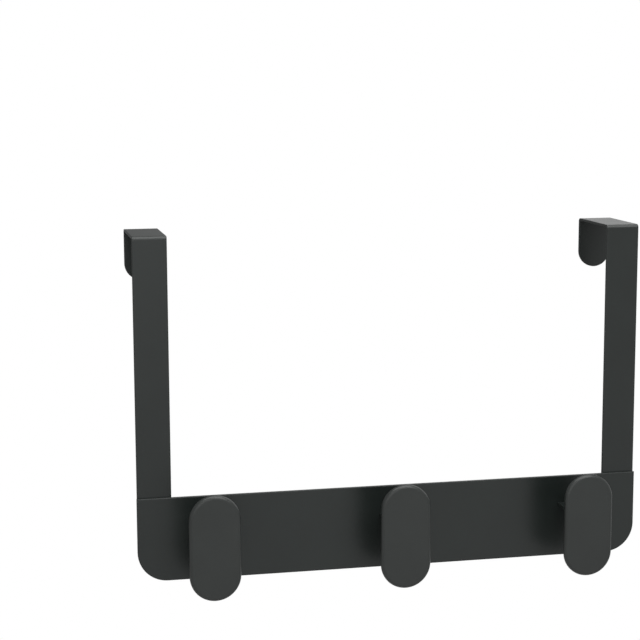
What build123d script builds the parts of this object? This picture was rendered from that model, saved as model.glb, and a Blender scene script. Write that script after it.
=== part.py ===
from build123d import *
import os

# Over-door rack with three pill-shaped hooks, of flat steel sheet and bent strip.
# X runs along the rail to the right, Y back through the door and Z up.
# The origin is halfway along the rail, where the door's front face meets its top edge.

# Rail: a flat plate across the front, square at the top and round at its lower corners
rail_length = 305.0
rail_height = 49.5
rail_sheet = 1.5
rail_lower_corner = 17.5
rail_upper_corner = 1.0

# Straps: flat strip lapped behind the rail's ends and bent over the top of the door
strap_width = 20.0
strap_sheet = 1.5
strap_inset = 0.3
strap_bend = 0.5
door_gap = 45.0
rail_drop = 150.5
tab_length = 30.5

# Hook faces: three thick pills held in front of the rail
hook_end_distance = 41.0
pill_width = 29.5
pill_height = 61.6
pill_sheet = 3.0
pill_front_break = 1.1
pill_front_ease = 0.5
pill_back_break = 0.6
pill_reach = 32.0
pill_lift = 1.7

# Hook brackets: strip bent to a shelf that meets the rail end on, and a leg down the pill
bracket_width = 16.0
bracket_sheet = 2.0
bracket_bend = 1.5
bracket_leg = 22.0
bracket_corner = 3.0
shelf_rise = 6.5
bead_leg = 2.0
bead_end_distance = 2.0

# Every sheet edge is broken, and each spot weld leaves a shallow dimple on its hidden side
edge_break = 0.2
weld_width = 5.0
weld_depth = 0.25
weld_slope = 60.0
strap_weld_spacing = 20.0
hook_weld_spacing = 8.0

# Planes of the stack, from the door forwards
strap_front = -strap_sheet
rail_front = strap_front - rail_sheet
pill_front = rail_front - pill_reach
pill_back = pill_front + pill_sheet

# Heights, from the top of the door downwards
rail_top = -rail_drop
rail_bottom = rail_top - rail_height
strap_top = strap_sheet
pill_middle = rail_top - rail_height / 2 + pill_lift
shelf_top = pill_middle + shelf_rise
shelf_bottom = shelf_top - bracket_sheet
leg_tip = shelf_top - bracket_leg

# The strap's half-round lower end stays inside the rail's round corner
strap_end_radius = strap_width / 2
strap_end_height = max(rail_lower_corner, strap_inset + strap_end_radius)
strap_low_centre = rail_bottom + strap_end_height
tab_low_centre = strap_top - tab_length + strap_end_radius
strap_middle = rail_length / 2 - strap_inset - strap_width / 2

# The outer hooks keep their distance from the rail's ends
hook_pitch = rail_length / 2 - hook_end_distance

# The dimples lie along the middle of each lap and of each bracket's leg
strap_weld_middle = (rail_top + strap_low_centre - strap_end_radius) / 2
hook_weld_height = (leg_tip + shelf_bottom) / 2

straps = {"left": -strap_middle, "right": strap_middle}
hooks = {"left": -hook_pitch, "middle": 0.0, "right": hook_pitch}


def outline_edges(piece, sheet):
    """The edges round a strip's outline, without its bend lines and its thickness lines."""
    along = piece.edges().filter_by(Axis.X, reverse=True)
    return [edge for edge in along if edge.length > 1.01 * sheet or edge.geom_type != GeomType.LINE]


os.makedirs("parts", exist_ok=True)

# Rail
with BuildPart() as rail:
    with BuildSketch(Plane.XZ.offset(-strap_front)) as rail_outline:
        with Locations((0, rail_top - rail_height / 2)):
            Rectangle(rail_length, rail_height)
        corners = rail_outline.vertices().group_by(Axis.Y)
        fillet(corners[0], radius=rail_lower_corner)
        fillet(corners[-1], radius=rail_upper_corner)
    extrude(amount=rail_sheet)
    rail_rim = rail.faces().filter_by(Axis.Y).edges()
    chamfer(rail_rim, length=edge_break)
rail.part.label = "rail_plate"
export_step(rail.part, "parts/rail_plate.step")

# Straps, each one strip: up the door, over its top and down behind it as a short tab
for side, strap_x in straps.items():
    with BuildPart() as strap:
        with BuildLine(Plane.YZ.offset(strap_x)) as strap_path:
            FilletPolyline(
                (-strap_sheet / 2, strap_low_centre),
                (-strap_sheet / 2, strap_sheet / 2),
                (door_gap + strap_sheet / 2, strap_sheet / 2),
                (door_gap + strap_sheet / 2, tab_low_centre),
                radius=strap_bend + strap_sheet / 2,
            )
        with BuildSketch(Plane(strap_path.line @ 0, x_dir=(1, 0, 0), z_dir=strap_path.line % 0)):
            Rectangle(strap_width, strap_sheet)
        sweep()
        with BuildSketch(Plane.XZ.offset(strap_sheet / 2)):
            with Locations((strap_x, strap_low_centre)):
                Circle(strap_end_radius)
        extrude(amount=strap_sheet / 2, both=True)
        with BuildSketch(Plane.XZ.offset(-door_gap - strap_sheet / 2)):
            with Locations((strap_x, tab_low_centre)):
                Circle(strap_end_radius)
        extrude(amount=strap_sheet / 2, both=True)
        chamfer(outline_edges(strap, strap_sheet), length=edge_break)
        with BuildSketch(Plane.XZ):
            with Locations((strap_x, strap_weld_middle)):
                with GridLocations(0, strap_weld_spacing, 1, 2):
                    Circle(weld_width / 2)
        extrude(amount=weld_depth, taper=weld_slope, mode=Mode.SUBTRACT)
    strap.part.label = side + "_strap"
    export_step(strap.part, "parts/" + strap.part.label + ".step")

# Hooks, each a pill on a bracket that is hidden behind it and has its weld bead under the shelf
for side, hook_x in hooks.items():
    with BuildPart() as bracket:
        with BuildLine(Plane.YZ.offset(hook_x)) as bracket_path:
            FilletPolyline(
                (rail_front, shelf_top - bracket_sheet / 2),
                (pill_back + bracket_sheet / 2, shelf_top - bracket_sheet / 2),
                (pill_back + bracket_sheet / 2, leg_tip),
                radius=bracket_bend + bracket_sheet / 2,
            )
        with BuildSketch(Plane(bracket_path.line @ 0, x_dir=(1, 0, 0), z_dir=bracket_path.line % 0)):
            Rectangle(bracket_width, bracket_sheet)
        sweep()
        leg_corners = bracket.edges().filter_by(Axis.Y).group_by(Axis.Z)[0]
        fillet(leg_corners, radius=bracket_corner)
        chamfer(outline_edges(bracket, bracket_sheet), length=edge_break)
        with BuildSketch(Plane.XZ.offset(-pill_back - bracket_sheet)):
            with Locations((hook_x, hook_weld_height)):
                with GridLocations(hook_weld_spacing, 0, 2, 1):
                    Circle(weld_width / 2)
        extrude(amount=weld_depth, taper=weld_slope, mode=Mode.SUBTRACT)
        with BuildSketch(Plane.YZ.offset(hook_x)):
            with BuildLine():
                Polyline(
                    (rail_front, shelf_bottom),
                    (rail_front, shelf_bottom - bead_leg),
                    (rail_front - bead_leg, shelf_bottom),
                    close=True,
                )
            make_face()
        extrude(amount=bracket_width / 2 - bead_end_distance, both=True)
    bracket.part.label = side + "_hook_bracket"
    export_step(bracket.part, "parts/" + bracket.part.label + ".step")

    with BuildPart() as pill:
        with BuildSketch(Plane.XZ.offset(-pill_back)):
            with Locations((hook_x, pill_middle)):
                SlotOverall(pill_height, pill_width, rotation=90)
        extrude(amount=pill_sheet)
        chamfer(pill.edges().group_by(Axis.Y)[-1], length=pill_back_break)
        chamfer(pill.edges().group_by(Axis.Y)[0], length=pill_front_break)
        front_band = pill.edges().group_by(Axis.Y)
        chamfer(front_band[0] + front_band[2], length=pill_front_ease)
    pill.part.label = side + "_hook_face"
    export_step(pill.part, "parts/" + pill.part.label + ".step")
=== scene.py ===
import math

import bpy
from mathutils import Matrix, Vector


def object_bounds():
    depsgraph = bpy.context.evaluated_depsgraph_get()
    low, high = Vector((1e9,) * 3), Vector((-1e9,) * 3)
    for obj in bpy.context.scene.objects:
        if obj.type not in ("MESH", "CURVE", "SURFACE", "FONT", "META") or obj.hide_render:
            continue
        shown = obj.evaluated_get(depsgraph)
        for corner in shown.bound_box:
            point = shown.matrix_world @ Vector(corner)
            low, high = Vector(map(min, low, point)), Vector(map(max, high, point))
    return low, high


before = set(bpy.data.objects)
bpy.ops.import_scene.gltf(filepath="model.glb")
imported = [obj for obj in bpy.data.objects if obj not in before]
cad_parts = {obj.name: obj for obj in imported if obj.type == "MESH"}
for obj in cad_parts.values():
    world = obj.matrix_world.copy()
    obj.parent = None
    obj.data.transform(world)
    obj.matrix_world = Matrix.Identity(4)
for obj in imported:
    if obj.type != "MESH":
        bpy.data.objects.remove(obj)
cad_low, cad_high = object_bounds()

# Rail plate: one piece of flat steel sheet, its lower corners cut round and its upper ones nearly
# square. It is degreased, sprayed with anthracite powder and baked, which leaves a matt coat with a
# fine grain, a little duller where it is drawn thin over the cut edges and bends. There the colour is
# paler too, partly for the thin coat and partly as painted highlight.
COAT_COLOUR = (0.0080, 0.0114, 0.0102, 1.0)
# Paler colour at cut edges and bends, for the thinner coat there and as painted highlight.
COAT_THIN_EDGE_AND_HIGHLIGHT_COLOUR = (0.0180, 0.0220, 0.0205, 1.0)
COAT_ROUGHNESS = 0.34
COAT_IOR = 1.5

CLOUD_SIZE = 0.030
CLOUD_DETAIL = 3.0
CLOUD_TONE = 0.25
CLOUD_ROUGHNESS = 0.12

GRAIN_SIZE = 0.0008
GRAIN_DETAIL = 2.0
GRAIN_HEIGHT = 0.000025
GRAIN_ROUGHNESS = 0.08

EDGE_SOFTNESS = 0.0010
EDGE_SAMPLES = 8
EDGE_START = 0.01
EDGE_FULL = 0.16
EDGE_THIN_COAT_AND_HIGHLIGHT_SHARE = 0.30
EDGE_DULLING = 0.40


class Wire:
    """One output of a shader node. Sums on it add Math nodes, so that 1 - mask works."""

    def __init__(self, finish, socket):
        self.finish = finish
        self.socket = socket

    def math(self, operation, first, second):
        return self.finish.node("ShaderNodeMath", {"operation": operation}, {0: first, 1: second})["Value"]

    def __add__(self, other):
        return self.math("ADD", self, other)

    def __sub__(self, other):
        return self.math("SUBTRACT", self, other)

    def __rsub__(self, other):
        return self.math("SUBTRACT", other, self)

    def __mul__(self, other):
        return self.math("MULTIPLY", self, other)

    __radd__ = __add__
    __rmul__ = __mul__


class Finish:
    """The node tree of a material or of the room's light, with one method that adds any node to it."""

    def __init__(self, owner):
        owner.use_nodes = True
        self.tree = owner.node_tree
        self.tree.nodes.clear()

    def node(self, kind, settings, sockets):
        """Adds a node, sets its settings first and then its sockets, and gives its outputs by name.

        A socket is named, or numbered among the open ones, and gets a value or a wire."""
        made = self.tree.nodes.new(kind)
        for name, value in settings.items():
            setattr(made, name, value)
        open_sockets = [socket for socket in made.inputs if socket.enabled]
        by_key = dict(enumerate(open_sockets))
        by_key.update({socket.name: socket for socket in reversed(open_sockets)})
        for key, value in sockets.items():
            if isinstance(value, Wire):
                self.tree.links.new(value.socket, by_key[key])
            else:
                by_key[key].default_value = value
        return {out.name: Wire(self, out) for out in made.outputs if out.enabled}


def scaled(colour, share):
    """The colour with its red, green and blue multiplied by one share."""
    red, green, blue, alpha = colour
    return (red * share, green * share, blue * share, alpha)


def powder_coat(name, colour, softness):
    """A matt powder coat: fine grain as bump, faint clouds in tone and gloss, and an edge paled partly by
    thin coat and partly as painted highlight.

    The edge mask is 1 minus the dot product of the plain normal and the normal softened over
    the edge's radius, so it is zero on flat sheet and rises at every cut edge and bend."""
    material = bpy.data.materials.new(name)
    coat = Finish(material)
    place = coat.node("ShaderNodeTexCoord", {}, {})["Object"]
    clouds = coat.node(
        "ShaderNodeTexNoise", {}, {"Vector": place, "Scale": 1 / CLOUD_SIZE, "Detail": CLOUD_DETAIL}
    )["Fac"]
    grain = coat.node(
        "ShaderNodeTexNoise", {}, {"Vector": place, "Scale": 1 / GRAIN_SIZE, "Detail": GRAIN_DETAIL}
    )["Fac"]
    soft = coat.node("ShaderNodeBevel", {"samples": EDGE_SAMPLES}, {"Radius": softness})["Normal"]
    plain = coat.node("ShaderNodeNewGeometry", {}, {})["True Normal"]
    agreement = coat.node(
        "ShaderNodeVectorMath", {"operation": "DOT_PRODUCT"}, {0: soft, 1: plain}
    )["Value"]
    edge = coat.node(
        "ShaderNodeMapRange", {}, {"Value": 1 - agreement, "From Min": EDGE_START, "From Max": EDGE_FULL}
    )["Result"]
    darkest = scaled(colour, 1 - CLOUD_TONE)
    palest = scaled(colour, 1 + CLOUD_TONE)
    flat_tone = coat.node(
        "ShaderNodeMix", {"data_type": "RGBA"}, {"Factor": clouds, "A": darkest, "B": palest}
    )["Result"]
    # Painted highlight: the colour is paled along every cut edge and bend, beside the real thin coat
    # there.
    thin_coat_and_painted_highlight = edge * EDGE_THIN_COAT_AND_HIGHLIGHT_SHARE
    tone = coat.node(
        "ShaderNodeMix", {"data_type": "RGBA"}, {"Factor": thin_coat_and_painted_highlight, "A": flat_tone, "B": COAT_THIN_EDGE_AND_HIGHLIGHT_COLOUR}
    )["Result"]
    uneven = (clouds - 0.5) * CLOUD_ROUGHNESS + (grain - 0.5) * GRAIN_ROUGHNESS
    grained = coat.node(
        "ShaderNodeBump", {}, {"Height": grain, "Distance": GRAIN_HEIGHT, "Normal": soft}
    )["Normal"]
    surface = coat.node(
        "ShaderNodeBsdfPrincipled",
        {},
        {
            "Base Color": tone,
            "Roughness": COAT_ROUGHNESS + uneven + edge * EDGE_DULLING,
            "IOR": COAT_IOR,
            "Normal": grained,
        },
    )["BSDF"]
    coat.node("ShaderNodeOutputMaterial", {}, {"Surface": surface})
    return material


def paint(node_name, material):
    """Puts a finish on a solid in place of the plain one that it came with."""
    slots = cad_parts[node_name].data.materials
    slots.clear()
    slots.append(material)


rail_coat = powder_coat("rail powder coat", COAT_COLOUR, EDGE_SOFTNESS)
paint("rail_plate", rail_coat)

# Straps: two lengths of 20 mm strip with half-round ends, bent over the door's top edge and spot
# welded behind the rail. They are coated in one go with the rail, and look the same.
strap_coat = powder_coat("strap powder coat", COAT_COLOUR, EDGE_SOFTNESS)
for strap in ("left_strap", "right_strap"):
    paint(strap, strap_coat)

# Hook brackets: short strips bent once. The end of the shelf is welded to the rail's front with a
# bead under it, and the leg is spot welded to the back of the hook face, which hides the bracket
# from the front. They carry the rail's coat too.
bracket_coat = powder_coat("bracket powder coat", COAT_COLOUR, EDGE_SOFTNESS)
for bracket in ("left_hook_bracket", "middle_hook_bracket", "right_hook_bracket"):
    paint(bracket, bracket_coat)

# Hook faces: pills of 3 mm plate with a rounded front rim, spot welded to their brackets before the
# rack is coated. Their coat is a slightly paler copy of the rail's, so they render a little lighter.
FACE_COLOUR = (0.0165, 0.0197, 0.0183, 1.0)
FACE_SOFTNESS = 0.0014
face_coat = powder_coat("hook face powder coat", FACE_COLOUR, FACE_SOFTNESS)
for face in ("left_hook_face", "middle_hook_face", "right_hook_face"):
    paint(face, face_coat)

# Studio floor: a wide pale sheet half a metre under the hanging rack. It takes the rack's soft
# shadow and fades into the white backdrop a step away from it. The coat mirrors it at nearly full
# white behind the rack on the right, and duller on the left and on the camera's side.
FLOOR_DROP = 0.55
FLOOR_REACH = 30.0
FLOOR_COLOUR = (0.80, 0.80, 0.80, 1.0)
WHITE = (1.0, 1.0, 1.0, 1.0)
SHADOW_SHARE = 0.2
FADE_START = 0.35
FADE_END = 0.90
MIRRORED_AHEAD = 0.63
MIRRORED_LEFT = 0.24
MIRRORED_RIGHT = 0.94
SIDE_TURN_START = 0.05
SIDE_TURN_END = 0.36
FLOOR_TURN_START = 0.2
FLOOR_TURN_END = 1.5


def eased(finish, value, start, end, low, high):
    """Goes smoothly from low to high as the value goes from start to end, as 3 t^2 - 2 t^3 does."""
    return finish.node(
        "ShaderNodeMapRange",
        {"interpolation_type": "SMOOTHSTEP"},
        {"Value": value, "From Min": start, "From Max": end, "To Min": low, "To Max": high},
    )["Result"]


def mirrored_white(finish, behind, side):
    """How white a direction is in the coat's reflections: dull ahead of the rack, and behind it
    from dull on the left to nearly full white on the right, as the direction's X goes up."""
    backdrop = eased(finish, side, SIDE_TURN_START, SIDE_TURN_END, MIRRORED_LEFT, MIRRORED_RIGHT)
    return behind * backdrop + (1 - behind) * MIRRORED_AHEAD


floor_height = cad_low.z - FLOOR_DROP
floor_corners = [
    (-FLOOR_REACH, -FLOOR_REACH, floor_height),
    (FLOOR_REACH, -FLOOR_REACH, floor_height),
    (FLOOR_REACH, FLOOR_REACH, floor_height),
    (-FLOOR_REACH, FLOOR_REACH, floor_height),
]
floor_mesh = bpy.data.meshes.new("floor")
floor_mesh.from_pydata(floor_corners, [], [(0, 1, 2, 3)])
floor = bpy.data.objects.new("floor", floor_mesh)
bpy.context.scene.collection.objects.link(floor)

floor_material = bpy.data.materials.new("floor")
floor_mesh.materials.append(floor_material)
sheet = Finish(floor_material)
place = sheet.node("ShaderNodeTexCoord", {}, {})["Object"]
level_place = sheet.node(
    "ShaderNodeVectorMath", {"operation": "MULTIPLY"}, {0: place, 1: (1.0, 1.0, 0.0)}
)["Vector"]
distance = sheet.node("ShaderNodeVectorMath", {"operation": "LENGTH"}, {0: level_place})["Value"]
depth = sheet.node("ShaderNodeSeparateXYZ", {}, {0: place})["Y"]
outwards = sheet.node("ShaderNodeVectorMath", {"operation": "NORMALIZE"}, {0: level_place})["Vector"]
side = sheet.node("ShaderNodeSeparateXYZ", {}, {0: outwards})["X"]
whitened = eased(sheet, distance, FADE_START, FADE_END, 1 - SHADOW_SHARE, 1.0)
behind = eased(sheet, depth, FLOOR_TURN_START, FLOOR_TURN_END, 0.0, 1.0)
mirrored = mirrored_white(sheet, behind, side)
path = sheet.node("ShaderNodeLightPath", {}, {})
glossy = path["Is Glossy Ray"]
seen = path["Is Camera Ray"] + glossy + path["Is Transmission Ray"]
paper = sheet.node("ShaderNodeBsdfDiffuse", {}, {"Color": FLOOR_COLOUR})["BSDF"]
backdrop = sheet.node(
    "ShaderNodeEmission", {}, {"Color": WHITE, "Strength": glossy * mirrored + (1 - glossy)}
)["Emission"]
mixed = sheet.node("ShaderNodeMixShader", {}, {0: seen * whitened, 1: paper, 2: backdrop})["Shader"]
sheet.node("ShaderNodeOutputMaterial", {}, {"Surface": mixed})

# Studio light: one broad soft box overhead and three smaller ones on the camera's side, in a white
# room. The coat mirrors the room as it does the floor, because the studio is brightest at the right
# of the backdrop.
AIM = Vector((0.0, 0.0, -0.12))
SOFT_BOXES = {
    "overhead": {"place": (0.0, -0.25, 1.25), "size": 1.5, "watts": 18.0},
    "front": {"place": (-0.35, -1.60, 0.20), "size": 0.8, "watts": 3.0},
    "low front": {"place": (0.45, -1.50, -0.60), "size": 0.8, "watts": 0.5},
    "high right": {"place": (0.45, -1.20, 1.00), "size": 0.8, "watts": 8.0},
}
ROOM_DIFFUSE = 0.42
ROOM_TURN_START = 0.1
ROOM_TURN_END = 0.8

for name, box in SOFT_BOXES.items():
    lamp = bpy.data.lights.new(name, "AREA")
    lamp.shape = "SQUARE"
    lamp.size = box["size"]
    lamp.energy = box["watts"]
    stand = bpy.data.objects.new(name, lamp)
    bpy.context.scene.collection.objects.link(stand)
    stand.location = box["place"]
    stand.rotation_euler = (AIM - stand.location).to_track_quat("-Z", "Y").to_euler()
    stand.visible_camera = False

room = bpy.data.worlds.new("studio")
bpy.context.scene.world = room
air = Finish(room)
direction = air.node("ShaderNodeTexCoord", {}, {})["Generated"]
heading = air.node("ShaderNodeSeparateXYZ", {}, {0: direction})
behind = eased(air, heading["Y"], ROOM_TURN_START, ROOM_TURN_END, 0.0, 1.0)
mirrored = mirrored_white(air, behind, heading["X"])
path = air.node("ShaderNodeLightPath", {}, {})
glossy = path["Is Glossy Ray"]
seen = path["Is Camera Ray"] + path["Is Transmission Ray"]
strength = seen + glossy * mirrored + (1 - seen) * (1 - glossy) * ROOM_DIFFUSE
glow = air.node("ShaderNodeBackground", {}, {"Color": WHITE, "Strength": strength})["Background"]
air.node("ShaderNodeOutputWorld", {}, {"Surface": glow})

# Camera: a long lens about a metre in front of the rack, a quarter of a metre to its left and a
# hand's width above the straps, turned to look a little to the right and down.
CAMERA_PLACE = (-0.24251, -0.94687, 0.09710)
CAMERA_TURN = math.radians(11.8775)
CAMERA_TILT = math.radians(8.6446)
CAMERA_ROLL = math.radians(-0.2379)
CAMERA_LENS = 94.5
CAMERA_SENSOR = 36.0
camera_data = bpy.data.cameras.new("camera")
camera_data.lens = CAMERA_LENS
camera_data.sensor_width = CAMERA_SENSOR
camera = bpy.data.objects.new("camera", camera_data)
bpy.context.scene.collection.objects.link(camera)
camera.matrix_world = (
    Matrix.Translation(CAMERA_PLACE)
    @ Matrix.Rotation(-CAMERA_TURN, 4, "Z")
    @ Matrix.Rotation(math.pi / 2 - CAMERA_TILT, 4, "X")
    @ Matrix.Rotation(CAMERA_ROLL, 4, "Z")
)
bpy.context.scene.camera = camera
bpy.context.scene.view_settings.view_transform = "Standard"
